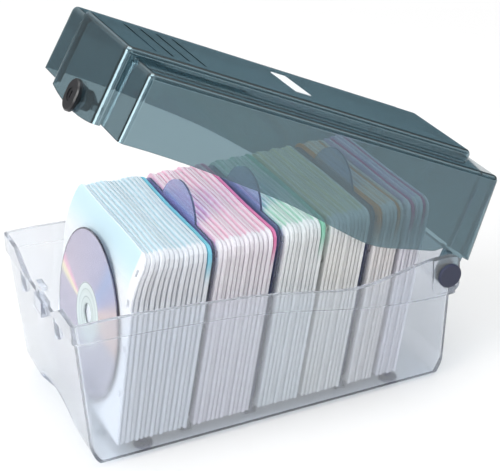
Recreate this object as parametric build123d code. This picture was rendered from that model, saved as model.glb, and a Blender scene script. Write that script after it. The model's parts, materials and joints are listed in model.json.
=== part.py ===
from build123d import *
import math
import os

os.makedirs("parts", exist_ok=True)

# Lidded file box for discs. Millimetres, +Z up, front (lock end) at -Y.
# Pieces are modelled with the tub's underside at z = 0 and the lid closed.
# The lid's pieces are then turned open about the hinge, and all is set on the ground plane.

# Shared clearances
overrun = 8.0
gap = 0.4
slip = 0.15
press_gap = 0.02
running_gap = 0.06

# Disc and sleeve: a standard disc sets the sleeve's size, and the sleeve sets the box's width
disc_radius = 60.0
disc_hole = 7.5
disc_thickness = 1.2
disc_edge = 0.2
sleeve_side_margin = 8.0
sleeve_side_gap = 5.4
sleeve_width = 2 * (disc_radius + sleeve_side_margin)

# Tub: overall sizes over the rim band, and the drafted wall below it
side_taper = 3.9
end_taper = 7.7
floor_width = sleeve_width + 2 * sleeve_side_gap
tub_width = floor_width + 2 * side_taper
tub_length = 282.0
floor_length = tub_length - 2 * end_taper
front_height = 109.8
wall = 2.2
floor_thickness = 2.4
tub_corner = 3.8
band_proud = 0.9
floor_edge = 3.0

# Tub: the rim falls from the front corners to its low point, then climbs to the hinge ears
rim_fall = 22.4
rim_place_shares = (-0.54, -0.5, -0.39, -0.284, -0.16, -0.064, 0.06, 0.16, 0.234, 0.298, 0.362, 0.408)
rim_fall_shares = (0.0, 0.0, 0.027, 0.116, 0.26, 0.384, 0.652, 0.90, 1.0, 0.91, 0.768, 0.665)

# Tub: lower edge of the rim band, from its height at the front to its low rear end
band_height = 13.4
band_fall = 30.0
band_place_shares = (-0.56, -0.5, -0.273, -0.014, 0.227, 0.372, 0.56)
band_fall_shares = (0.0, 0.0, 0.12, 0.363, 0.82, 1.0, 0.99)

# Tub: bowed front end, bevelled rear end and finger recess
bow_run = 10.0
bow_rise = 20.0
bevel_run = 6.6
bevel_rise = 12.0
recess_half_width = 46.0
recess_height = 22.0
recess_depth = 8.5
recess_start = 2.3

# Tub: dip in the front rim that clears the lock, with a bead under each flank
dip_depth = 14.8
dip_half_width = 50.0
dip_floor_half_width = 25.0
dip_radius = 8.0
bead_radius = 3.0
bead_height = 13.0
bead_below_rim = 26.0
bead_offset = 37.0

# Tub: ribs that the sleeves stand on
rib_height = 6.0
rib_width = 3.0
rib_offset_share = 0.2725
rib_front_gap = 13.5
rib_rear_gap = 20.3

# Hinge: pivot place, ears on the tub, pins, caps and clips
pivot_from_rear = 7.6
pivot_below_rim = 28.3
ear_radius = 14.2
ear_front = 12.6
ear_rear = 8.2
ear_below = 13.4
ear_proud = 1.5
ear_corner = 6.0
pin_radius = 4.0
cap_radius = 8.9
cap_thickness = 2.0
cap_edge = 0.9
clip_radius = 7.0
clip_thickness = 1.2
groove_depth = 0.8
pin_tail = 1.0

# Lid: closed sizes above the tub's front rim
lid_inset = 1.8
lid_side_height = 47.6
lid_wall = 2.0
lid_corner = 4.0
lid_edge = 4.0
lid_overhang = 6.7
lid_heel_height = 12.1
end_draft_share = 0.083
side_draft_share = 0.02
lid_heel_tilt = 10.0
heel_clear = 0.8
open_angle = 26.2

# Lid: raised centre band that turns down the front as the nose
nose_width = 84.8
nose_proud = 5.1
nose_draft_share = 0.07
nose_corner = 4.6
nose_edge = 3.6
nose_lip = 0.6
nose_bulge = 4.2
band_raise = 5.4
band_setback = 5.2

# Lid: grip grooves and hinge lugs
groove_count = 4
grip_length = 60.0
grip_width = 1.6
grip_depth = 0.9
grip_pitch = 12.3
grip_first = 25.0
lug_radius = 8.5
lug_thickness = 2.6
heel_floor = 2.0
lug_rib_spread = 13.0
lug_rib_thickness = 1.6
rib_bite = 1.0

# Lock: oval housing, plug, nut, hook cam and screw, set square to the nose
lock_above_lip = 8.7
plate_width = 18.4
plate_height = 22.6
plate_thickness = 3.2
plate_edge = 1.0
barrel_radius = 7.2
barrel_length = 12.6
plug_radius = 4.6
plug_recess = 0.5
key_width = 1.4
key_height = 5.2
key_depth = 6.0
nut_radius = 10.4
nut_thickness = 3.6
cam_thickness = 2.0
cam_hub_radius = 5.2
cam_width = 5.6
cam_reach = 16.9
nib_height = 3.5
nib_length = 4.2
screw_head_radius = 3.2
screw_head_thickness = 1.7
screw_radius = 1.5
screw_length = 6.0

# Strike: the hook on the tub's front wall that the cam's nib turns under
strike_half_width = 9.0
strike_tip = 4.0
strike_post = 4.0
strike_thickness = 3.2
strike_below = 11.0
strike_depth = 4.5
strike_clear = 0.5

# Feet
foot_radius = 6.8
foot_height = 1.8
foot_edge = 0.6
foot_stem_radius = 2.5
foot_inset = 12.2
foot_from_end = 39.3

# Dividers: plates with a round tab, on two tongues
divider_place_shares = (-0.236, -0.055, 0.205)
divider_inset = 4.0
divider_head = 18.0
divider_thickness = 1.6
divider_corner = 9.0
pack_lean_angle = 11.6
tab_radius = 33.0
tab_rise = 19.0
tongue_width = 12.0
tongue_inset = 18.4
socket_width = 16.0
socket_length = 8.0
socket_height = 4.6

# Sleeves: sheets that lean back in packs between the dividers
sleeve_thickness = 1.2
sleeve_corner = 9.0
sleeve_head = 10.2
front_sleeve_rise = 3.0
pack_margin = 3.3
blue_count = 15
pink_count = 13
green_count = 10
yellow_count = 10
orange_count = 7
violet_count = 6
front_sleeve_setback = 18.8
rear_bay = 36.3
front_lean_angle = 9.5
front_curl_angle = 27.6
curl_drop = 9.2
top_spread = 0.8

# Front sleeve's pocket, which holds the disc
film = 0.6
back_sheet = 0.8
pocket_floor = 3.2
pocket_offset = -3.0
pocket_mouth_drop = 22.0

# Places and sizes that follow from the ones above
floor_half = floor_length / 2
rear_y = tub_length / 2
front_y = -rear_y
pivot_y = rear_y - pivot_from_rear
pivot_z = front_height - pivot_below_rim
lid_width = tub_width - 2 * lid_inset
rib_offset = rib_offset_share * floor_width
tongue_offset = floor_width / 2 - tongue_inset
foot_offset = floor_width / 2 - foot_inset
foot_place = floor_half - foot_from_end
divider_width = sleeve_width - 2 * divider_inset
divider_height = 2 * disc_radius + divider_head
sleeve_base = floor_thickness + rib_height + gap
sleeve_top = sleeve_base + 2 * disc_radius + sleeve_head
front_sleeve_top = sleeve_top + front_sleeve_rise
curl_height = 2 * disc_radius - curl_drop
pocket_mouth = 2 * disc_radius - pocket_mouth_drop
lid_top = front_height + lid_side_height
band_top = lid_top + band_raise
heel_z = pivot_z + lid_heel_height


# Helpers for outlines in the side view (Y, Z) and the end view (X, Z)
def side_slab(edges, half):
    return extrude(Plane.YZ * make_face(edges), amount=half, both=True)


def end_slab(edges, start, stop):
    face = Plane.XZ.offset(-stop) * make_face(edges)
    return extrude(face, amount=stop - start)


def box_between(low, high):
    size = [b - a for a, b in zip(low, high)]
    middle = [(a + b) / 2 for a, b in zip(low, high)]
    return Pos(*middle) * Box(*size)


def rod(radius, start, stop, y, z):
    turned = Rot(0, 90, 0) * Cylinder(radius, stop - start)
    return Pos((start + stop) / 2, y, z) * turned


def drafted(low_z, low, high_z, high, corner):
    front, rear, half = low
    sides = (half - high[2], half + high[2])
    ends = (rear - high[1], rear - high[0])
    wedge = Wedge(half * 2, high_z - low_z, rear - front, sides[0], ends[0], sides[1], ends[1], align=None)
    body = Pos(-half, rear, low_z) * Rot(90, 0, 0) * wedge
    return fillet(body.edges().sort_by(Axis.Z)[4:8], corner)


def both_sides(shape):
    return [shape, mirror(shape, about=Plane.YZ)]


# The rim, and other curves that both the tub and the lid follow
def rim_points(lift):
    drop = zip(rim_place_shares, rim_fall_shares)
    return [(place * tub_length, front_height - fall * rim_fall + lift) for place, fall in drop]


def tub_half_width(z):
    top = tub_width / 2 - band_proud
    return floor_width / 2 + (top - floor_width / 2) * z / front_height


def tub_half_length(z):
    top = tub_length / 2 - band_proud
    return floor_half + (top - floor_half) * z / front_height


# Tub
def wall_body(inset, corner):
    ends = []
    for z in (-overrun, front_height + overrun):
        half = tub_half_length(z) - inset
        ends.append((-half, half, tub_half_width(z) - inset))
    return drafted(-overrun, ends[0], front_height + overrun, ends[1], corner)


def hull_edges(inset, floor_z):
    start = bow_run - tub_half_length(bow_rise)
    run = bow_run - inset
    bow = EllipticalCenterArc((start, bow_rise), run, bow_rise - floor_z, 180, arc_size=90)
    length = math.hypot(bevel_run, bevel_rise)
    shift = inset * length / bevel_rise
    grade = bevel_rise / bevel_run
    toe = floor_half - bevel_run - shift + floor_z / grade
    reach = floor_half + overrun
    heel = floor_z + (reach - toe) * grade
    top = front_height + overrun + floor_z
    line = Polyline((start, floor_z), (toe, floor_z), (reach, heel), (reach, top), (-reach, top),
                    (-reach, bow_rise), (start - run, bow_rise))
    return bow + line


def rim_edges():
    points = rim_points(0)
    crown = (pivot_y, pivot_z + ear_radius)
    rim = Spline(*points, crown, tangents=[(1, 0), (1, 0)])
    ear = CenterArc((pivot_y, pivot_z), ear_radius, 90, -60)
    first = points[0]
    last = ear @ 1
    reach = rear_y + overrun * 2
    close = Polyline(last, (reach, last.Y), (reach, -overrun * 2), (first[0], -overrun * 2), first)
    return rim + ear + close


def band_edges():
    base = front_height - band_height
    pairs = zip(band_place_shares, band_fall_shares)
    points = [(place * tub_length, base - fall * band_fall) for place, fall in pairs]
    top = front_height + overrun
    lower = Spline(*points)
    return lower + Polyline(points[-1], (points[-1][0], top), (points[0][0], top), points[0])


def recess(inset):
    half = recess_half_width + inset
    arch = extrude(Plane.XZ * Ellipse(half, recess_height + inset), amount=tub_length)
    scoop = Pos(0, recess_start - floor_half, 0) * Ellipse(half, recess_depth + inset)
    return arch & extrude(scoop, amount=front_height, both=True)


def dip():
    low = front_height - dip_depth
    rise = dip_depth / (dip_half_width - dip_floor_half_width)
    out = dip_half_width + overrun * 2
    high = front_height + rise * overrun * 2
    half = FilletPolyline((-out, high), (-dip_floor_half_width, low), (dip_floor_half_width, low),
                          (out, high), radius=dip_radius)
    return end_slab(half + Line(half @ 1, half @ 0), front_y - overrun, front_y + overrun)


def bead(side):
    low = front_height - bead_below_rim
    place = tub_half_length(low)
    post = Pos(side * bead_offset, -place, low + bead_height / 2) * Cylinder(bead_radius, bead_height)
    end = Pos(side * bead_offset, -place, low) * Sphere(bead_radius)
    return post + end


def ear_pad(side):
    low = pivot_z - ear_below
    outline = Polyline((pivot_y - ear_front, low), (pivot_y + ear_rear, low),
                       (pivot_y + ear_rear, pivot_z + ear_radius * 2),
                       (pivot_y - ear_front, pivot_z + ear_radius * 2), close=True)
    face = make_face(outline)
    face = fillet(face.vertices().sort_by(Axis.Y)[:2], ear_corner)
    start = tub_half_width(pivot_z) - wall / 2
    pad = extrude(Plane.YZ.offset(start) * face, amount=tub_width / 2 + ear_proud - start)
    pad = pad & side_slab(rim_edges(), tub_width)
    return pad if side > 0 else mirror(pad, about=Plane.YZ)


def strike():
    plate = lock_plane()
    top = -cam_reach + nib_height + strike_clear
    wall_z = front_height - dip_depth
    base_top = wall_z - plate.position.Z
    y_far = barrel_length + plug_recess - strike_clear
    y_near = y_far - strike_depth
    low = base_top - strike_below
    base = box_between((-strike_half_width, y_near - wall, low), (strike_half_width, y_far, base_top))
    post = box_between((-strike_half_width, y_near, base_top - wall),
                       (-strike_half_width + strike_post, y_far, top))
    arm = box_between((-strike_half_width, y_near, top), (strike_tip, y_far, top + strike_thickness))
    return plate * (base + post + arm)


def socket(place, offset):
    low = (offset - socket_width / 2, place - socket_length / 2, floor_thickness - wall / 2)
    high = (offset + socket_width / 2, place + socket_length / 2, floor_thickness + socket_height)
    block = box_between(low, high)
    slot = Box(tongue_width + gap * 2, divider_thickness + gap * 2, divider_height)
    return block - divider_place(place) * Pos(offset, 0, divider_height / 2) * slot


def lug_slots():
    outer = lug_face() + gap * 3
    inner = clip_start() - pin_tail - gap
    low = pivot_z - lug_radius - lug_thickness
    start = tub_half_length(0) - wall
    cut = box_between((inner, start, low), (outer, rear_y + overrun, front_height))
    return both_sides(cut)


def foot_places():
    return [(x, y) for x in (-foot_offset, foot_offset) for y in (-foot_place, foot_place)]


def rounded_floor():
    half = floor_width / 2
    top = front_height + overrun
    keel = end_slab(Polyline((-half, 0), (half, 0), (tub_half_width(top), top), (-tub_half_width(top), top),
                             close=True), front_y - overrun, rear_y + overrun)
    low = keel.edges().filter_by(Axis.Y).sort_by(Axis.Z)[:2]
    return fillet(low, floor_edge)


def make_tub():
    outer = wall_body(0, tub_corner) & side_slab(hull_edges(0, 0), tub_width)
    outer &= rounded_floor()
    outer -= recess(0)
    band = extrude(RectangleRounded(tub_width, tub_length, tub_corner), amount=front_height + overrun)
    band &= side_slab(band_edges(), tub_width)
    outer = (outer + band) & side_slab(rim_edges(), tub_width)
    inner = wall_body(wall, tub_corner - wall) & side_slab(hull_edges(wall, floor_thickness), tub_width)
    inner -= recess(wall)
    solid = outer + [ear_pad(1), ear_pad(-1), bead(1), bead(-1)]
    solid -= inner
    solid -= dip()
    solid += strike()
    solid -= lug_slots()
    for side in (-1, 1):
        low = floor_thickness - wall / 2
        high = floor_thickness + rib_height
        rib = box_between((side * rib_offset - rib_width / 2, rib_front_gap - floor_half, low),
                          (side * rib_offset + rib_width / 2, floor_half - rib_rear_gap, high))
        solid += rib & outer
        for share in divider_place_shares:
            solid += socket(share * floor_length, side * tongue_offset)
        ear = rod(pin_radius + press_gap, lug_face() - overrun, tub_width / 2 + overrun, pivot_y, pivot_z)
        solid -= ear if side > 0 else mirror(ear, about=Plane.YZ)
    for x, y in foot_places():
        solid -= Pos(x, y, 0) * Cylinder(foot_stem_radius + press_gap, overrun * 2)
    return solid


# Hinge pins with caps, and the clips on their inner ends
def lug_face():
    return tub_half_width(pivot_z - lug_radius) - wall - gap


def clip_start():
    return lug_face() - lug_thickness - gap - clip_thickness


def make_pin():
    head = tub_width / 2 + ear_proud
    tail = clip_start() - pin_tail
    shaft = rod(pin_radius, tail, head + cap_thickness / 2, pivot_y, pivot_z)
    cap = rod(cap_radius, head, head + cap_thickness, pivot_y, pivot_z)
    cap = chamfer(cap.edges().sort_by(Axis.X)[-1:], cap_edge)
    groove = rod(pin_radius + overrun, clip_start(), clip_start() + clip_thickness, pivot_y, pivot_z)
    groove -= rod(pin_radius - groove_depth, tail, head, pivot_y, pivot_z)
    return shaft + cap - groove


def make_clip():
    stop = clip_start() + clip_thickness
    ring = rod(clip_radius, clip_start(), stop, pivot_y, pivot_z)
    bore = pin_radius - groove_depth + press_gap
    return ring - rod(bore, clip_start() - gap, stop + gap, pivot_y, pivot_z)


# Lid
def lid_section(z, inset):
    front = front_y + (z - front_height) * end_draft_share + inset
    rear = rear_y + lid_overhang - (z - heel_z) * end_draft_share - inset
    half = lid_width / 2 - (z - front_height) * side_draft_share - inset
    return front, rear, half


def band_section(z, inset):
    front = front_y - nose_proud + (z - front_height) * nose_draft_share + inset
    rear = lid_section(lid_top, 0)[1] - band_setback - inset
    return front, rear, nose_half_width(z) - inset


def nose_half_width(z):
    return nose_width / 2 - (z - front_height) * side_draft_share / 2


def lid_form(inset):
    low = heel_z - overrun * 2
    top = lid_top - inset
    body = drafted(low, lid_section(low, inset), top, lid_section(top, inset), lid_corner - inset)
    body = fillet(body.faces().sort_by(Axis.Z)[-1].edges(), lid_edge - inset)
    top = band_top - inset
    band = drafted(low, band_section(low, inset), top, band_section(top, inset), nose_corner - inset)
    band = fillet(band.faces().sort_by(Axis.Z)[-1].edges(), nose_edge - inset)
    return body + band


def under_lid():
    points = [p for p in rim_points(gap) if p[0] > front_y - overrun]
    start = (front_y - gap, front_height + gap)
    points = [start] + points[2:]
    tilt = math.radians(lid_heel_tilt)
    reach = ear_radius + heel_clear
    touch = (pivot_y + reach * math.sin(tilt), pivot_z + reach * math.cos(tilt))
    front = pivot_y - ear_front
    step = (front, touch[1] + (touch[0] - front) * math.tan(tilt))
    back = rear_y + lid_overhang + overrun
    heel = (back, touch[1] - (back - touch[0]) * math.tan(tilt))
    edge = Spline(*points, tangents=[(1, 0), (1, (step[1] - points[-1][1]) / ear_front)])
    low = -overrun
    rest = Polyline(points[-1], step, heel, (back, low), (start[0], low), start)
    return side_slab(edge + rest, lid_width)


def under_nose():
    high = front_height - nose_lip
    half = nose_width / 2
    arc = ThreePointArc((-half, high), (0, high - nose_bulge), (half, high))
    out = lid_width
    rest = Polyline((half, high), (out, high), (out, 0), (-out, 0), (-out, high), (-half, high))
    return end_slab(arc + rest, front_y - nose_proud - overrun, front_y - gap)


def heel_slab():
    return (Pos(0, 0, heel_floor) * under_lid()) - under_lid()


def lug(side):
    outer = lug_face()
    inner = outer - lug_thickness
    top = lid_top
    front = pivot_y - ear_front
    block = box_between((inner, front, pivot_z), (lid_width, rear_y + lid_overhang, top))
    brace = block & heel_slab()
    for place in (-lug_rib_spread / 2, lug_rib_spread / 2):
        near = pivot_y + place - lug_rib_thickness / 2
        rib = box_between((inner, near, pivot_z), (lid_width, near + lug_rib_thickness, top))
        brace += rib - under_lid()
    brace &= lid_form(rib_bite)
    drop = box_between((inner, pivot_y - lug_radius, pivot_z), (outer, pivot_y + lug_radius, top))
    plate = drop & (Pos(0, 0, heel_floor) * under_lid())
    plate += rod(lug_radius, inner, outer, pivot_y, pivot_z)
    plate += brace
    plate -= rod(pin_radius + running_gap, inner - gap, outer + gap, pivot_y, pivot_z)
    return plate if side > 0 else mirror(plate, about=Plane.YZ)


def grips():
    cuts = []
    for index in range(groove_count):
        y = band_section(band_top, 0)[0] + grip_first + index * grip_pitch
        cuts.append(Pos(0, y, band_top) * Box(grip_length, grip_width, grip_depth * 2))
    return cuts


def make_lid():
    shell = lid_form(0) - lid_form(lid_wall)
    shell -= under_lid()
    shell -= under_nose()
    shell -= grips()
    shell += [lug(1), lug(-1)]
    hole = Rot(90, 0, 0) * Cylinder(barrel_radius + slip, overrun * 2)
    return shell - lock_plane() * hole


# Lock, modelled about its own axis: local +Y points into the box, the nose's outside is at y = 0
def lock_plane():
    z = front_height - nose_lip + lock_above_lip - nose_bulge
    y = band_section(z, 0)[0]
    return Location((0, y, z), (-math.degrees(math.atan(nose_draft_share)), 0, 0))


def along(radius, start, stop):
    return Pos(0, (start + stop) / 2, 0) * Rot(90, 0, 0) * Cylinder(radius, stop - start)


def make_housing():
    oval = Plane.XZ * Rot(0, 0, 90) * SlotOverall(plate_height, plate_width)
    plate = extrude(oval, amount=plate_thickness)
    plate = chamfer(plate.faces().sort_by(Axis.Y)[0].edges(), plate_edge)
    body = plate + along(barrel_radius, -slip, barrel_length)
    return body - along(plug_radius + running_gap, -plate_thickness - gap, barrel_length + gap)


def make_plug():
    front = -plate_thickness + plug_recess
    body = along(plug_radius, front, barrel_length + plug_recess)
    key = box_between((-key_width / 2, front - gap, -key_height / 2),
                      (key_width / 2, front + key_depth, key_height / 2))
    end = barrel_length + plug_recess
    return body - key - along(screw_radius + press_gap, end - screw_length, end + gap)


def make_nut():
    start = lid_wall + slip
    hexagon = Plane.XZ * RegularPolygon(nut_radius, 6)
    ring = Pos(0, start + nut_thickness, 0) * extrude(hexagon, amount=nut_thickness)
    return ring - along(barrel_radius + press_gap, start - gap, start + nut_thickness + gap)


def make_cam():
    start = barrel_length + plug_recess
    hub = along(cam_hub_radius, start, start + cam_thickness)
    arm = box_between((0, start, -cam_width / 2), (cam_reach, start + cam_thickness, cam_width / 2))
    nib = box_between((cam_reach - nib_height, start - nib_length, -nib_height / 2),
                      (cam_reach, start + cam_thickness / 2, nib_height / 2))
    return hub + arm + nib - along(screw_radius + press_gap, start - gap, start + cam_thickness + gap)


def make_screw():
    start = barrel_length + plug_recess + cam_thickness
    head = along(screw_head_radius, start, start + screw_head_thickness)
    return head + along(screw_radius, start - cam_thickness - screw_length + gap, start + gap)


# Feet, dividers and sleeves
def make_foot(x, y):
    pad = Cylinder(foot_radius, foot_height, align=(Align.CENTER, Align.CENTER, Align.MAX))
    pad = chamfer(pad.edges().sort_by(Axis.Z)[:1], foot_edge)
    stem = Cylinder(foot_stem_radius, floor_thickness, align=(Align.CENTER, Align.CENTER, Align.MIN))
    return Pos(x, y, 0) * (pad + stem)


def divider_place(place):
    return Pos(0, place, floor_thickness + gap) * Rot(-pack_lean_angle, 0, 0)


def make_divider(place):
    low = rib_height + gap
    plate = RectangleRounded(divider_width, divider_height - low, divider_corner)
    plate = Pos(0, (low + divider_height) / 2) * plate
    tab = Pos(0, divider_height + tab_rise - tab_radius) * Circle(tab_radius)
    tongue = Rectangle(tongue_width, low * 2, align=(Align.CENTER, Align.MIN))
    outline = plate + tab
    for side in (-1, 1):
        outline += Pos(side * tongue_offset, 0) * tongue
    solid = extrude(Plane.XZ * outline, amount=divider_thickness / 2, both=True)
    return divider_place(place) * solid


def sheet_line(base, low_lean, top_lean, top):
    low = math.radians(low_lean)
    bend = (base + curl_height * math.sin(low), sleeve_base + curl_height * math.cos(low))
    rise = top - bend[1]
    tip = (bend[0] + rise * math.tan(math.radians(top_lean)), top)
    return [(base, sleeve_base), bend, tip]


def make_sheet(line, front, back):
    outline = [(y + back, z) for y, z in line] + [(y - front, z) for y, z in reversed(line)]
    slab = side_slab(Polyline(*outline, close=True), sleeve_width)
    front_view = Plane.XZ * RectangleRounded(sleeve_width, line[-1][1] * 2, sleeve_corner)
    return slab & extrude(front_view, amount=tub_length, both=True)


def blue_line(index):
    share = index / (blue_count - 1)
    first = front_sleeve_setback - floor_half
    last = divider_place_shares[0] * floor_length - pack_margin
    low_lean = front_lean_angle + (pack_lean_angle - front_lean_angle) * share
    top_lean = front_curl_angle + (pack_lean_angle - front_curl_angle) * share
    top = front_sleeve_top + (sleeve_top - front_sleeve_top) * share
    return sheet_line(first + (last - first) * share, low_lean, top_lean, top)


def front_sleeve_place():
    y, z = blue_line(0)[0]
    return Pos(pocket_offset, y, z) * Rot(-front_lean_angle, 0, 0)


def disc_place():
    depth = back_sheet + slip + disc_thickness / 2
    return front_sleeve_place() * Pos(0, -depth, pocket_floor + slip + disc_radius)


def make_front_sleeve():
    sheet = make_sheet(blue_line(0), back_sheet, 0)
    half = disc_radius + slip
    back = -back_sheet
    front = back - disc_thickness - slip * 2
    shell = box_between((-half - film, front - film, 0), (half + film, back / 2, pocket_mouth))
    room = box_between((-half, front, pocket_floor), (half, back, pocket_mouth + overrun))
    pocket = front_sleeve_place() * (shell - room)
    below = box_between((-sleeve_width, front_y, 0), (sleeve_width, rear_y, sleeve_base))
    return sheet + (pocket - below)


def make_disc():
    disc = Cylinder(disc_radius, disc_thickness) - Cylinder(disc_hole, disc_thickness * 2)
    disc = chamfer(disc.edges().filter_by(GeomType.CIRCLE).sort_by(SortBy.LENGTH)[-2:], disc_edge)
    return disc_place() * Rot(90, 0, 0) * disc


def make_pack(start, stop, total, first, count):
    sheets = []
    for index in range(first, first + count):
        base = start + (stop - start) * index / (total - 1)
        top = sleeve_top + top_spread * math.sin(index * index + total)
        line = sheet_line(base, pack_lean_angle, pack_lean_angle, top)
        sheets.append(make_sheet(line, sleeve_thickness / 2, sleeve_thickness / 2))
    return Compound(sheets)


def bay(index):
    start = divider_place_shares[index] * floor_length + pack_margin
    if index + 1 < len(divider_place_shares):
        return start, divider_place_shares[index + 1] * floor_length - pack_margin
    return start, floor_half - rear_bay


# Gather the pieces, with the lid's ones turned open about the hinge
def open_lid(shape):
    turn = Pos(0, pivot_y, pivot_z) * Rot(-open_angle, 0, 0) * Pos(0, -pivot_y, -pivot_z)
    return turn * shape


def tub_pieces():
    found = {"tub": make_tub()}
    for name, piece in (("hinge_pin", make_pin()), ("hinge_clip", make_clip())):
        found[name + "_right"] = piece
        found[name + "_left"] = mirror(piece, about=Plane.YZ)
    for number, (x, y) in enumerate(foot_places(), 1):
        found[f"foot_{number}"] = make_foot(x, y)
    for number, share in enumerate(divider_place_shares, 1):
        found[f"divider_{number}"] = make_divider(share * floor_length)
    return found


def lid_pieces():
    found = {"lid_shell": open_lid(make_lid())}
    parts = {"lock_housing": make_housing(), "lock_plug": make_plug(), "lock_nut": make_nut()}
    parts |= {"lock_cam": make_cam(), "cam_screw": make_screw()}
    for name, piece in parts.items():
        found[name] = open_lid(lock_plane() * piece)
    return found


def sleeve_pieces():
    found = {"sleeve_blue_01": make_front_sleeve(), "disc_front": make_disc()}
    for number in range(1, blue_count):
        found[f"sleeve_blue_{number + 1:02d}"] = make_sheet(blue_line(number), sleeve_thickness, 0)
    middle_count = green_count + yellow_count
    rear_count = orange_count + violet_count
    found["sleeves_pink"] = make_pack(*bay(0), pink_count, 0, pink_count)
    found["sleeves_green"] = make_pack(*bay(1), middle_count, 0, green_count)
    found["sleeves_yellow"] = make_pack(*bay(1), middle_count, green_count, yellow_count)
    found["sleeves_orange"] = make_pack(*bay(2), rear_count, 0, orange_count)
    found["sleeves_violet"] = make_pack(*bay(2), rear_count, orange_count, violet_count)
    return found


# Set the open box on the ground plane, centred on the origin, and write the files
pieces = tub_pieces() | lid_pieces() | sleeve_pieces()
bounds = Compound(list(pieces.values())).bounding_box()
home = Pos(0, -bounds.center().Y, -bounds.min.Z)
for name, piece in pieces.items():
    export_step(home * piece, f"parts/{name}.step")
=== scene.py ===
import json
import math

import bmesh
import bpy
from mathutils import Matrix, Vector


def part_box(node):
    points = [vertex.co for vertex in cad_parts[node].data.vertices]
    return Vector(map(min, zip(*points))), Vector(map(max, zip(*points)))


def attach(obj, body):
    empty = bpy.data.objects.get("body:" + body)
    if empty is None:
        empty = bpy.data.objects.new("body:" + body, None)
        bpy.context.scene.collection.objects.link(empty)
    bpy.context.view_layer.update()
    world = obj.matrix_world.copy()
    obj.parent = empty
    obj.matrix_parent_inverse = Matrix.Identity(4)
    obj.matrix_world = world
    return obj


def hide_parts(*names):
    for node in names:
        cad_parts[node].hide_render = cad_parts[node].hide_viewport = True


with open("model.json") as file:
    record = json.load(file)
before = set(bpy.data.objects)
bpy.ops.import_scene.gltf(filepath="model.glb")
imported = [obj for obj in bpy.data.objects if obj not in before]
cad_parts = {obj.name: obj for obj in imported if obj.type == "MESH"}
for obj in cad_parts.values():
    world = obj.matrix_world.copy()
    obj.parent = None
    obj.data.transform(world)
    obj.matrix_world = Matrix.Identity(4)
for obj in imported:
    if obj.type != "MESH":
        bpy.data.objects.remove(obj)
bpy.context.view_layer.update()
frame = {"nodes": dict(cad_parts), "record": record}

cad = frame["nodes"]


# ---------------------------------------------------------------- Tub
# The lower box is one injection moulding in natural polypropylene, blasted to a fine
# frost. It lets light through as a soft haze: things that touch the wall show clearly,
# and things further in blur away.

def linear(code):
    """sRGB hex to a linear colour."""
    parts = [int(code[i:i + 2], 16) / 255 for i in (0, 2, 4)]
    lit = (c / 12.92 if c <= 0.04045 else ((c + 0.055) / 1.055) ** 2.4 for c in parts)
    return (*lit, 1.0)


def new_material(name):
    """An empty material and its node tree."""
    made = bpy.data.materials.new(name)
    made.use_nodes = True
    made.node_tree.nodes.clear()
    return made, made.node_tree


def put(tree, kind, inputs=None, **settings):
    """Adds one node with its settings, values and links."""
    made = tree.nodes.new(kind)
    for key, value in settings.items():
        setattr(made, key, value)
    for socket, value in (inputs or {}).items():
        if isinstance(value, bpy.types.NodeSocket):
            tree.links.new(value, made.inputs[socket])
        else:
            made.inputs[socket].default_value = value
    return made


def wear(node, made):
    """Gives a CAD node this one material."""
    cad[node].data.materials.clear()
    cad[node].data.materials.append(made)


frost, tree = new_material("frosted_polypropylene")
place = put(tree, "ShaderNodeTexCoord").outputs["Object"]
# The blasted grain is about 0.1 mm; it is drawn at 1.2 mm so that it can show.
grain = put(tree, "ShaderNodeTexNoise", {"Vector": place, "Scale": 1 / 0.0012, "Detail": 2.0})
relief = put(tree, "ShaderNodeBump", {
    "Height": grain.outputs["Fac"], "Strength": 0.06, "Distance": 0.0002})
# Flow marks of the moulding, about 60 mm long, vary the frost a little.
flow = put(tree, "ShaderNodeTexNoise", {"Vector": place, "Scale": 1 / 0.06, "Detail": 1.0})
haze = put(tree, "ShaderNodeMapRange", {
    "Value": flow.outputs["Fac"], "To Min": 0.22, "To Max": 0.29})
skin = put(tree, "ShaderNodeBsdfPrincipled", {
    "Base Color": (0.89, 0.91, 0.935, 1.0), "Roughness": haze.outputs["Result"], "IOR": 1.3,
    "Transmission Weight": 0.93, "Coat Weight": 0.6, "Coat Roughness": 0.12,
    "Normal": relief.outputs["Normal"]})
through = put(tree, "ShaderNodeBsdfTransparent", {"Color": linear("e6ebee")})
lamp_ray = put(tree, "ShaderNodeLightPath").outputs["Is Shadow Ray"]
both = put(tree, "ShaderNodeMixShader", {0: lamp_ray, 1: skin.outputs[0], 2: through.outputs[0]})
# Edge-on walls and the floor gather a faint lavender grey.
depth = put(tree, "ShaderNodeVolumeAbsorption", {
    "Color": (0.46, 0.53, 0.7, 1.0), "Density": 24.0})
put(tree, "ShaderNodeOutputMaterial", {"Surface": both.outputs[0], "Volume": depth.outputs[0]})
wear("tub", frost)


# ---------------------------------------------------------------- Feet
# Four moulded rubber pads, pressed into holes in the floor by a stem each.
# Dark blue-grey and matt, they show through the frosted floor as soft spots.

foot_rubber, tree = new_material("moulded_rubber")
place = put(tree, "ShaderNodeTexCoord").outputs["Object"]
bloom = put(tree, "ShaderNodeTexNoise", {"Vector": place, "Scale": 1 / 0.003, "Detail": 3.0})
shade = put(tree, "ShaderNodeMix", {
    "Factor": bloom.outputs["Fac"], 6: linear("1d1d52"), 7: linear("2b2b64")}, data_type="RGBA")
pad = put(tree, "ShaderNodeBsdfPrincipled", {"Base Color": shade.outputs[2], "Roughness": 0.7})
put(tree, "ShaderNodeOutputMaterial", {"Surface": pad.outputs[0]})
for number in range(1, 5):
    wear(f"foot_{number}", foot_rubber)


# ---------------------------------------------------------------- Dividers
# Flat plates stamped from smoked blue polystyrene sheet, with a round finger tab.
# Each stands on two tongues in sockets of the floor, and the packs lean on it.

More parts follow.
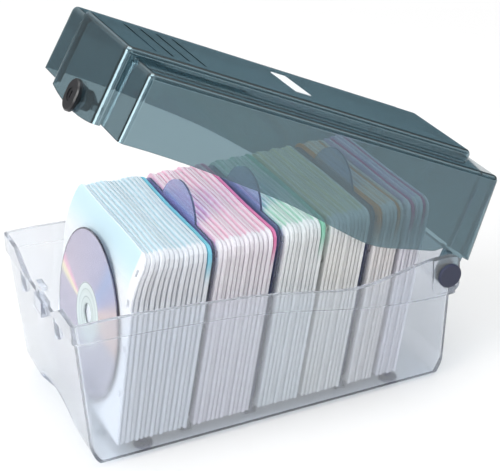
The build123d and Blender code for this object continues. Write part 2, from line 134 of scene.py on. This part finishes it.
tab_smoke, tree = new_material("smoked_blue_polystyrene")
place = put(tree, "ShaderNodeTexCoord").outputs["Object"]
drawn = put(tree, "ShaderNodeTexNoise", {"Vector": place, "Scale": 1 / 0.02, "Detail": 1.0})
gloss = put(tree, "ShaderNodeMapRange", {
    "Value": drawn.outputs["Fac"], "To Min": 0.08, "To Max": 0.16})
sheet = put(tree, "ShaderNodeBsdfPrincipled", {
    "Base Color": (0.56, 0.61, 0.79, 1.0), "Roughness": gloss.outputs["Result"], "IOR": 1.45,
    "Transmission Weight": 0.9})
through = put(tree, "ShaderNodeBsdfTransparent", {"Color": linear("b4bce0")})
lamp_ray = put(tree, "ShaderNodeLightPath").outputs["Is Shadow Ray"]
both = put(tree, "ShaderNodeMixShader", {0: lamp_ray, 1: sheet.outputs[0], 2: through.outputs[0]})
# The blue deepens with the length of plastic in view, so a cut edge looks almost black.
depth = put(tree, "ShaderNodeVolumeAbsorption", {
    "Color": (0.3, 0.4, 0.7, 1.0), "Density": 130.0})
put(tree, "ShaderNodeOutputMaterial", {"Surface": both.outputs[0], "Volume": depth.outputs[0]})
for number in range(1, 4):
    wear(f"divider_{number}", tab_smoke)


# ---------------------------------------------------------------- Sleeves
# Pockets welded from soft white non-woven sheet, with a tinted strip along the top and a
# punched binder margin at one side. They stand in leaning packs, one tint to a pack, and
# the front pack curls back at the top.

sleeve_half = 0.068
sleeve_corner = 0.009
margin_inner = 0.0575
hole_sides = (0.0606, 0.0640)
hole_heights = (0.036, 0.069, 0.102, 0.124)
hole_half = 0.0027
lean = math.radians(11.6)
bend_height = 0.1108
bend_half = 0.012
ripple_size = 0.00045
side_shift = 0.0005
liner_inset = 0.0011


def sleeve_cut(along):
    """How far the rounded top corner falls at this place across the sleeve."""
    past = max(abs(along) - (sleeve_half - sleeve_corner), 0.0)
    return sleeve_corner - math.sqrt(max(sleeve_corner ** 2 - past ** 2, 0.0))


def sleeve_mesh(foot, low_lean, top_lean, length, turn, skin, dye, inset=0.0):
    """One sheet, standing on foot and bent back at bend_height; turn is a whole number that
    varies it. With an inset it is the plain liner behind the sheet, that much smaller at each
    side and the top."""
    columns = [-sleeve_half, -0.0665, -0.0635, -0.059, -0.035, -0.01, 0.015, 0.04, margin_inner,
               hole_sides[0], hole_sides[1], 0.0664, sleeve_half]
    rows = [0.0, 0.018, 0.052, 0.085, bend_height - 0.004, bend_height + 0.004,
            bend_height + 0.009, length - 0.0015, length]
    rows = sorted(rows + [h + s for h in hole_heights for s in (-hole_half, hole_half)])
    work = bmesh.new()
    # Painted highlight: the top row of each plain outer sheet is marked, so that its material whitens the
    # top edge.
    painted_top_highlight = work.verts.layers.float.new("painted_top_highlight")
    bmesh.ops.create_grid(work, x_segments=len(columns) - 1, y_segments=len(rows) - 1, size=0.5)
    holes = []
    for face in work.faces:
        middle = face.calc_center_median()
        across = int((middle.x + 0.5) * (len(columns) - 1))
        up = int((middle.y + 0.5) * (len(rows) - 1))
        at = (rows[up] + rows[up + 1]) / 2
        at_hole = any(abs(at - h) < hole_half / 2 for h in hole_heights)
        if at_hole and columns[across] == hole_sides[0] and not inset:
            holes.append(face)
    for corner in work.verts:
        x = columns[round((corner.co.x + 0.5) * (len(columns) - 1))]
        s = rows[round((corner.co.y + 0.5) * (len(rows) - 1))]
        corner[painted_top_highlight] = 1.0 if s == length and not (inset or dye) else 0.0
        s = min(s, length - sleeve_cut(x) - (length - s) * 0.1) * (1 - inset / length)
        x *= 1 - inset / sleeve_half
        late = min(max(s - bend_height + bend_half, 0.0), 2 * bend_half)
        past = late ** 2 / (4 * bend_half) + max(s - bend_height - bend_half, 0.0)
        y = s * math.sin(low_lean) + past * (math.sin(top_lean) - math.sin(low_lean))
        z = s * math.cos(low_lean) + past * (math.cos(top_lean) - math.cos(low_lean))
        y += ripple_size * math.sin(x * 55 + turn * 0.4) * (s / length) ** 2
        x += side_shift * math.sin(turn * 3.7)
        corner.co = Vector((x, foot.y + y, foot.z + z))
    if holes:
        bmesh.ops.delete(work, geom=holes, context="FACES")
    work.normal_update()
    bmesh.ops.solidify(work, geom=work.faces[:], thickness=skin)
    bmesh.ops.recalc_face_normals(work, faces=work.faces)
    for face in work.faces:
        face.smooth = False
    dyed = work.verts.layers.float.new("dye")
    for corner in work.verts:
        corner[dyed] = dye
    return work


def sleeve_object(name, works, made):
    """Joins the sheets into one piece."""
    data = bpy.data.meshes.new(name)
    joined = bmesh.new()
    for work in works:
        work.to_mesh(data)
        work.free()
        joined.from_mesh(data)
    joined.to_mesh(data)
    joined.free()
    data.materials.append(made)
    piece = bpy.data.objects.new(name, data)
    bpy.context.scene.collection.objects.link(piece)
    return piece


def sleeve_material(name, strip, deep, shadow):
    """White bonded sheet with its tinted top strip, which stops short of the binder margin."""
    made, tree = new_material(name)
    place = put(tree, "ShaderNodeTexCoord").outputs["Object"]
    axes = put(tree, "ShaderNodeSeparateXYZ", {"Vector": place})
    # The bonding points lie about 1.5 mm apart.
    bonds = put(tree, "ShaderNodeTexVoronoi", {"Vector": place, "Scale": 1 / 0.0015})
    relief = put(tree, "ShaderNodeBump", {
        "Height": bonds.outputs["Distance"], "Strength": 0.12, "Distance": 0.0001})
    high = put(tree, "ShaderNodeMapRange", {
        "Value": axes.outputs["Z"], "From Min": 0.112, "From Max": 0.136}, interpolation_type="SMOOTHSTEP")
    inside = put(tree, "ShaderNodeMapRange", {
        "Value": axes.outputs["X"], "From Min": 0.0585, "From Max": 0.0565})
    # A fully dyed sheet carries its colour out across the margin.
    dye = put(tree, "ShaderNodeAttribute", attribute_name="dye")
    wide = put(tree, "ShaderNodeMath", {0: inside.outputs["Result"], 1: dye.outputs["Fac"]},
               operation="MAXIMUM")
    strip_on = put(tree, "ShaderNodeMath", {0: high.outputs["Result"], 1: wide.outputs["Value"]},
                   operation="MULTIPLY")
    cloud = put(tree, "ShaderNodeTexNoise", {"Vector": place, "Scale": 1 / 0.03, "Detail": 2.0})
    white = put(tree, "ShaderNodeMix", {
        "Factor": cloud.outputs["Fac"], 6: linear("f8f9fb"), 7: linear(shadow)}, data_type="RGBA")
    ink = put(tree, "ShaderNodeMix", {
        "Factor": dye.outputs["Fac"], 6: linear(strip), 7: linear(deep)}, data_type="RGBA")
    # Painted highlight: along each plain sheet's top edge the strip's tint fades to about a third, so the
    # top edges read nearly white, as if lit from above.
    painted_top_highlight = put(tree, "ShaderNodeAttribute", attribute_name="painted_top_highlight")
    highlight_fade = put(tree, "ShaderNodeMapRange", {
        "Value": painted_top_highlight.outputs["Fac"], "From Min": 0.2, "From Max": 1.0, "To Min": 1.0, "To Max": 0.35})
    inked = put(tree, "ShaderNodeMath", {0: strip_on.outputs["Value"], 1: highlight_fade.outputs["Result"]},
                operation="MULTIPLY")
    tint = put(tree, "ShaderNodeMix", {
        "Factor": inked.outputs["Value"], 6: white.outputs[2], 7: ink.outputs[2]}, data_type="RGBA")
    cloth = put(tree, "ShaderNodeBsdfPrincipled", {
        "Base Color": tint.outputs[2], "Roughness": 0.55, "Normal": relief.outputs["Normal"]})
    glow = put(tree, "ShaderNodeBsdfTranslucent", {"Color": tint.outputs[2]})
    both = put(tree, "ShaderNodeMixShader", {0: 0.35, 1: cloth.outputs[0], 2: glow.outputs[0]})
    put(tree, "ShaderNodeOutputMaterial", {"Surface": both.outputs[0]})
    return made


blue_sheet = sleeve_material("nonwoven_blue", "d6ebf3", "8ad6e8", "f1f4f9")
blue_count = 15
blue_liner = 0.0009
for index in range(blue_count):
    node = f"sleeve_blue_{index + 1:02d}"
    low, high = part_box(node)
    share = index / (blue_count - 1)
    low_lean = math.radians(9.5 + 2.1 * share)
    top_lean = math.radians(27.6 - 16.0 * share)
    # The first sheet stands back behind the disc in its pocket, and is thinner.
    depth, skin = (0.0003, 0.0020) if index else (0.0029, 0.0012)
    foot = Vector((0.0, low.y + depth, low.z))
    length = bend_height + (high.z - low.z - bend_height * math.cos(low_lean)) / math.cos(top_lean)
    length += 0.0007 * math.sin(index * 5.3)
    dye = 1.0 if index == blue_count - 1 else 0.0
    works = [sleeve_mesh(foot, low_lean, top_lean, length, index, skin, dye)]
    if index:
        foot.y += skin
        works.append(sleeve_mesh(foot, low_lean, top_lean, length, index, blue_liner, dye, liner_inset))
    piece = sleeve_object(f"pocket_blue_{index + 1:02d}", works, blue_sheet)
    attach(piece, f"leaf_{index + 1:02d}")
    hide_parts(node)

# Each pack: its tint, its number of sheets, the strip, the full dye, the shade, the dyed sheets.
packs = (("pink", 13, "f5d2e2", "ee92c2", "f6f0f6", (12,)),
         ("green", 10, "c6e8da", "9fd9c3", "f1f5f5", (9,)),
         ("yellow", 10, "f0ecc8", "e8d860", "f4f4f0", ()),
         ("orange", 7, "f6dec4", "f0a24a", "f6f2f0", (0, 5)),
         ("violet", 6, "e6cfee", "de5aa2", "f4f1f8", (1, 4)))
pack_end = 0.0018
skin_share = 0.58
liner_share = 0.3
for tint, count, strip, deep, shadow, dyed in packs:
    low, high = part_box(f"sleeves_{tint}")
    height = high.z - low.z
    first = low.y + pack_end
    last = high.y - pack_end - height * math.tan(lean)
    pitch = (last - first) / (count - 1)
    skin = pitch * skin_share
    works = []
    for index in range(count):
        foot = Vector((0.0, first + pitch * index - skin / 2, low.z))
        length = (height - 0.001 + 0.0008 * math.sin(index * 4.7 + count)) / math.cos(lean)
        dye = 1.0 if index in dyed else 0.0
        works.append(sleeve_mesh(foot, lean, lean, length, index + count, skin, dye))
        if index < count - 1:
            foot.y += skin
            works.append(sleeve_mesh(foot, lean, lean, length, index + count, pitch * liner_share, dye,
                                     liner_inset))
    sheet = sleeve_material(f"nonwoven_{tint}", strip, deep, shadow)
    piece = sleeve_object(f"pockets_{tint}", works, sheet)
    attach(piece, "base")
    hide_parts(f"sleeves_{tint}")


# ---------------------------------------------------------------- Disc
# A pressed polycarbonate disc in the front pocket, silvered under its lacquer.
# The fans of colour that the spiral track splits light into are painted into the colour by angle around
# the hub, as a painted reflection; the hub is left unsilvered.

def set_ramp(node, colours):
    """Sets a ramp's stops, from places along it and sRGB hex codes."""
    while len(node.color_ramp.elements) < len(colours):
        node.color_ramp.elements.new(0.5)
    for stop, (at, code) in zip(node.color_ramp.elements, colours):
        stop.position = at
        stop.color = linear(code)


disc_radius = 0.06
hub_radius = 0.0225
disc_plate, tree = new_material("silvered_polycarbonate")
low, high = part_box("disc_front")
middle = (low + high) / 2
place = put(tree, "ShaderNodeTexCoord").outputs["Object"]
disc_lean = math.radians(9.5)
flat = put(tree, "ShaderNodeMapping", {
    "Vector": place, "Location": middle, "Rotation": (-disc_lean, 0.0, 0.0)}, vector_type="TEXTURE")
axes = put(tree, "ShaderNodeSeparateXYZ", {"Vector": flat.outputs["Vector"]})
around = put(tree, "ShaderNodeMath", {0: axes.outputs["Z"], 1: axes.outputs["X"]}, operation="ARCTAN2")
turn = put(tree, "ShaderNodeMapRange", {
    "Value": around.outputs["Value"], "From Min": -math.pi, "From Max": math.pi})
# Painted reflection: wedges of colour set by the angle around the hub.
painted_fan = put(tree, "ShaderNodeValToRGB", {"Fac": turn.outputs["Result"]})
painted_fan_colours = ((0.0, "b9b2c4"), (0.2, "b3b0c0"), (0.47, "b9b6c4"), (0.50, "dcc3ba"), (0.57, "d8c4c4"),
               (0.60, "aeb0d0"), (0.645, "a3b3d8"), (0.68, "b4b2cc"), (0.93, "bfb4c6"), (0.95, "f0b6cc"),
               (0.965, "f6ecc4"), (0.985, "bcb4c6"))
set_ramp(painted_fan, painted_fan_colours)
reach = put(tree, "ShaderNodeVectorMath", {0: flat.outputs["Vector"]}, operation="LENGTH")
# A stamped ring shows as a fine dark line; the moulded rim carries a fine dark line of painted shade.
share = put(tree, "ShaderNodeMath", {0: reach.outputs["Value"], 1: disc_radius}, operation="DIVIDE")
rings = put(tree, "ShaderNodeValToRGB", {"Fac": share.outputs["Value"]})
ring_colours = ((0.0, "b9c3c1"), (0.19, "b9c3c1"), (0.2, "98a3a2"), (0.215, "c0cac8"), (0.28, "b9c3c1"),
                (0.29, "a2adab"), (0.30, "c0cac8"), (0.355, "c2ccca"), (0.365, "5a6068"), (0.38, "ffffff"),
                (0.975, "ffffff"), (0.985, "4a4a5c"))
set_ramp(rings, ring_colours)
painted_fan_and_rings = put(tree, "ShaderNodeMix", {"Factor": 1.0, 6: painted_fan.outputs["Color"], 7: rings.outputs["Color"]},
            data_type="RGBA", blend_type="MULTIPLY")
silver = put(tree, "ShaderNodeBsdfPrincipled", {
    "Base Color": painted_fan_and_rings.outputs[2], "Metallic": 0.75, "Roughness": 0.25, "Coat Weight": 0.6})
hub = put(tree, "ShaderNodeBsdfPrincipled", {
    "Base Color": rings.outputs["Color"], "Roughness": 0.12, "IOR": 1.58})
beyond = put(tree, "ShaderNodeMath", {0: reach.outputs["Value"], 1: hub_radius}, operation="GREATER_THAN")
both = put(tree, "ShaderNodeMixShader", {
    0: beyond.outputs["Value"], 1: hub.outputs[0], 2: silver.outputs[0]})
put(tree, "ShaderNodeOutputMaterial", {"Surface": both.outputs[0]})
wear("disc_front", disc_plate)


# ---------------------------------------------------------------- Lid
# The cover is one injection moulding in clear smoke polystyrene, polished all over.
# Doubled walls read deeper, and it darkens a little more with the length of plastic in view.

smoke, tree = new_material("clear_smoke_polystyrene")
place = put(tree, "ShaderNodeTexCoord").outputs["Object"]
swirl = put(tree, "ShaderNodeTexNoise", {"Vector": place, "Scale": 1 / 0.04, "Detail": 1.0})
relief = put(tree, "ShaderNodeBump", {
    "Height": swirl.outputs["Fac"], "Strength": 0.01, "Distance": 0.0005})
skin = put(tree, "ShaderNodeBsdfPrincipled", {
    "Base Color": (0.165, 0.25, 0.285, 1.0), "Roughness": 0.02, "IOR": 1.95,
    "Transmission Weight": 1.0, "Specular Tint": (0.7, 0.92, 1.0, 1.0), "Coat Weight": 0.2,
    "Normal": relief.outputs["Normal"]})
through = put(tree, "ShaderNodeBsdfTransparent")
lamp_ray = put(tree, "ShaderNodeLightPath").outputs["Is Shadow Ray"]
both = put(tree, "ShaderNodeMixShader", {0: lamp_ray, 1: skin.outputs[0], 2: through.outputs[0]})
depth = put(tree, "ShaderNodeVolumeAbsorption", {
    "Color": (0.24, 0.43, 0.54, 1.0), "Density": 50.0})
put(tree, "ShaderNodeOutputMaterial", {"Surface": both.outputs[0], "Volume": depth.outputs[0]})
wear("lid_shell", smoke)


# ---------------------------------------------------------------- Hinge pins and clips
# Each pin is a headed stud moulded in dark blue acetal, pushed through the tub's ear and the
# lid's lug. A pressed steel washer grips its inner end.

pin_acetal, tree = new_material("dark_blue_acetal")
place = put(tree, "ShaderNodeTexCoord").outputs["Object"]
spark = put(tree, "ShaderNodeTexNoise", {"Vector": place, "Scale": 1 / 0.0008, "Detail": 2.0})
relief = put(tree, "ShaderNodeBump", {
    "Height": spark.outputs["Fac"], "Strength": 0.08, "Distance": 0.0001})
stud = put(tree, "ShaderNodeBsdfPrincipled", {
    "Base Color": linear("2b3048"), "Roughness": 0.42, "Normal": relief.outputs["Normal"]})
put(tree, "ShaderNodeOutputMaterial", {"Surface": stud.outputs[0]})

spring_steel, tree = new_material("pressed_spring_steel")
place = put(tree, "ShaderNodeTexCoord").outputs["Object"]
rolled = put(tree, "ShaderNodeTexNoise", {"Vector": place, "Scale": 1 / 0.0006, "Detail": 2.0})
gloss = put(tree, "ShaderNodeMapRange", {
    "Value": rolled.outputs["Fac"], "To Min": 0.25, "To Max": 0.4})
steel = put(tree, "ShaderNodeBsdfPrincipled", {
    "Base Color": linear("b9bbbd"), "Metallic": 1.0, "Roughness": gloss.outputs["Result"]})
put(tree, "ShaderNodeOutputMaterial", {"Surface": steel.outputs[0]})
for side in ("right", "left"):
    wear(f"hinge_pin_{side}", pin_acetal)
    wear(f"hinge_clip_{side}", spring_steel)


# ---------------------------------------------------------------- Lock
# A small cam lock in the lid's nose: a black die-cast housing, a turning plug with a key slot,
# and in steel the nut that holds it, the hooked cam on the plug's inner end and its screw.

lock_black, tree = new_material("black_enamelled_zinc")
place = put(tree, "ShaderNodeTexCoord").outputs["Object"]
pebble = put(tree, "ShaderNodeTexNoise", {"Vector": place, "Scale": 1 / 0.0009, "Detail": 2.0})
relief = put(tree, "ShaderNodeBump", {
    "Height": pebble.outputs["Fac"], "Strength": 0.06, "Distance": 0.0001})
enamel = put(tree, "ShaderNodeBsdfPrincipled", {
    "Base Color": linear("0e0e13"), "Roughness": 0.33, "Coat Weight": 0.15,
    "Normal": relief.outputs["Normal"]})
put(tree, "ShaderNodeOutputMaterial", {"Surface": enamel.outputs[0]})
for node in ("lock_housing", "lock_plug"):
    wear(node, lock_black)
for node in ("lock_nut", "lock_cam", "cam_screw"):
    wear(node, spring_steel)


# ---------------------------------------------------------------- Label
# A blank white paper label with rounded corners, stuck across the lid's raised band.
# It is laid on the shut lid and then turned up with it about the hinge.

hinge = next(j for j in frame["record"]["behaviour"]["joints"] if j["name"] == "lid_hinge")
pivot = Vector(hinge["pos_m"])
lid_open = math.radians(26.2)
opened = Matrix.Translation(pivot) @ Matrix.Rotation(-lid_open, 4, "X") @ Matrix.Translation(-pivot)
label_size = (0.042, 0.0125, 0.0003)
label_corner = 0.001
label_side, label_front, label_rise = -0.001, 0.1314, 0.0813
work = bmesh.new()
bmesh.ops.create_cube(work, size=1.0, matrix=Matrix.Diagonal((*label_size, 1.0)))
upright = [e for e in work.edges if abs(e.verts[0].co.z - e.verts[1].co.z) > label_size[2] / 2]
bmesh.ops.bevel(work, geom=upright, offset=label_corner, segments=4, profile=0.5, affect="EDGES",
                material=-1)
bmesh.ops.translate(work, verts=work.verts, vec=(
    label_side, pivot.y - label_front, pivot.z + label_rise + label_size[2] / 2))
bmesh.ops.transform(work, matrix=opened, verts=work.verts)
data = bpy.data.meshes.new("label_blank")
work.to_mesh(data)
work.free()
label = bpy.data.objects.new("label_blank", data)
bpy.context.scene.collection.objects.link(label)

label_paper, tree = new_material("coated_paper")
place = put(tree, "ShaderNodeTexCoord").outputs["Object"]
fibre = put(tree, "ShaderNodeTexNoise", {"Vector": place, "Scale": 1 / 0.0007, "Detail": 3.0})
shade = put(tree, "ShaderNodeMix", {
    "Factor": fibre.outputs["Fac"], 6: linear("f3f5f6"), 7: linear("e6eaec")}, data_type="RGBA")
paper = put(tree, "ShaderNodeBsdfPrincipled", {"Base Color": shade.outputs[2], "Roughness": 0.4})
put(tree, "ShaderNodeOutputMaterial", {"Surface": paper.outputs[0]})
data.materials.append(label_paper)
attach(label, "lid")


# ---------------------------------------------------------------- Studio
# A white sweep under broad soft lamps, a card for the lid's top to mirror, and the camera at
# the photograph's place.

work = bmesh.new()
bmesh.ops.create_grid(work, x_segments=1, y_segments=1, size=4.0)
data = bpy.data.meshes.new("studio_floor")
work.to_mesh(data)
work.free()
floor = bpy.data.objects.new("studio_floor", data)
bpy.context.scene.collection.objects.link(floor)
floor_white, tree = new_material("white_sweep")
matt = put(tree, "ShaderNodeBsdfDiffuse", {"Color": (0.57, 0.57, 0.57, 1.0)})
# Away from the box, where the lamps fall off, the sweep rises to plain white.
place = put(tree, "ShaderNodeTexCoord").outputs["Object"]
away = put(tree, "ShaderNodeVectorMath", {0: place}, operation="LENGTH")
rise = put(tree, "ShaderNodeMapRange", {
    "Value": away.outputs["Value"], "From Min": 0.7, "From Max": 2.2, "To Min": 0.2, "To Max": 1.0},
    interpolation_type="SMOOTHSTEP")
lift = put(tree, "ShaderNodeEmission", {
    "Color": (1.0, 1.0, 1.0, 1.0), "Strength": rise.outputs["Result"]})
dark = put(tree, "ShaderNodeEmission", {"Color": (0.0, 0.0, 0.0, 1.0), "Strength": 0.0})
path = put(tree, "ShaderNodeLightPath")
seen = put(tree, "ShaderNodeMath", {
    0: path.outputs["Is Camera Ray"], 1: path.outputs["Is Glossy Ray"]}, operation="MAXIMUM")
seen = put(tree, "ShaderNodeMath", {
    0: seen.outputs[0], 1: path.outputs["Is Transmission Ray"]}, operation="MAXIMUM")
extra = put(tree, "ShaderNodeMixShader", {0: seen.outputs[0], 1: dark.outputs[0], 2: lift.outputs[0]})
total = put(tree, "ShaderNodeAddShader", {0: matt.outputs[0], 1: extra.outputs[0]})
put(tree, "ShaderNodeOutputMaterial", {"Surface": total.outputs[0]})
data.materials.append(floor_white)

# The card stands beyond the box and is seen only in reflections.
card_size = Matrix.Diagonal((2.4, 0.6, 1.0, 1.0))
upended = Matrix.Rotation(math.radians(55.0), 4, "Z") @ Matrix.Rotation(math.radians(90.0), 4, "X")
work = bmesh.new()
bmesh.ops.create_grid(work, x_segments=1, y_segments=1, size=0.5, matrix=card_size)
bmesh.ops.transform(work, matrix=Matrix.Translation((-0.94, 0.66, 0.305)) @ upended, verts=work.verts)
data = bpy.data.meshes.new("studio_flag")
work.to_mesh(data)
work.free()
flag = bpy.data.objects.new("studio_flag", data)
flag.visible_camera = flag.visible_diffuse = False
flag.visible_transmission = flag.visible_shadow = False
bpy.context.scene.collection.objects.link(flag)
flag_grey, tree = new_material("blue_grey_card")
board = put(tree, "ShaderNodeBsdfDiffuse", {"Color": (0.10, 0.16, 0.19, 1.0)})
put(tree, "ShaderNodeOutputMaterial", {"Surface": board.outputs[0]})
data.materials.append(flag_grey)

# The room is dim low down and lighter above; straight to the camera it is plain white.
world = bpy.data.worlds.new("studio")
world.use_nodes = True
bpy.context.scene.world = world
tree = world.node_tree
tree.nodes.clear()
bearing = put(tree, "ShaderNodeTexCoord").outputs["Generated"]
facing = put(tree, "ShaderNodeSeparateXYZ", {"Vector": bearing})
level = put(tree, "ShaderNodeMapRange", {
    "Value": facing.outputs["Z"], "From Min": 0.0, "From Max": 0.7, "To Min": 0.14, "To Max": 0.7})
sky = put(tree, "ShaderNodeBackground", {
    "Color": (1.0, 1.0, 1.0, 1.0), "Strength": level.outputs["Result"]})
plain = put(tree, "ShaderNodeBackground", {"Color": (1.0, 1.0, 1.0, 1.0), "Strength": 1.0})
path = put(tree, "ShaderNodeLightPath")
seen = put(tree, "ShaderNodeMath", {
    0: path.outputs["Is Camera Ray"], 1: path.outputs["Is Transmission Ray"]}, operation="MAXIMUM")
room = put(tree, "ShaderNodeMixShader", {0: seen.outputs[0], 1: sky.outputs[0], 2: plain.outputs[0]})
put(tree, "ShaderNodeOutputWorld", {"Surface": room.outputs[0]})

# Each lamp: its name, place, width and power.
lamps = (("key", (0.4, -1.7, 1.3), 1.3, 34.0), ("top", (-0.2, 0.2, 1.9), 1.6, 27.0),
         ("side", (1.9, 0.3, 1.0), 1.2, 5.0), ("corner", (1.5, -1.1, 0.8), 1.0, 2.0))
box_middle = Vector((0.0, 0.0, 0.1))
for name, spot, size, power in lamps:
    lamp = bpy.data.lights.new(name, "AREA")
    lamp.size = size
    lamp.energy = power
    holder = bpy.data.objects.new(name, lamp)
    holder.location = spot
    holder.rotation_euler = (box_middle - Vector(spot)).to_track_quat("-Z", "Y").to_euler()
    bpy.context.scene.collection.objects.link(holder)

azimuth, tilt, roll = (math.radians(a) for a in (66.88, 26.61, -2.01))
aim = Vector((0.0, 0.00086, 0.10658))
distance = 1.14777
back = Vector((math.sin(azimuth) * math.cos(tilt), -math.cos(azimuth) * math.cos(tilt), math.sin(tilt)))
right = Vector((math.cos(azimuth), math.sin(azimuth), 0.0))
up = back.cross(right)
level_right = math.cos(roll) * right + math.sin(roll) * up
level_up = math.cos(roll) * up - math.sin(roll) * right
lens = bpy.data.cameras.new("camera")
lens.sensor_width = 36.0
lens.sensor_fit = "HORIZONTAL"
lens.lens = 117.0
camera = bpy.data.objects.new("camera", lens)
turned = Matrix((level_right, level_up, back)).transposed().to_4x4()
camera.matrix_world = Matrix.Translation(aim + back * distance) @ turned
bpy.context.scene.collection.objects.link(camera)
bpy.context.scene.camera = camera
bpy.context.scene.view_settings.view_transform = "Standard"
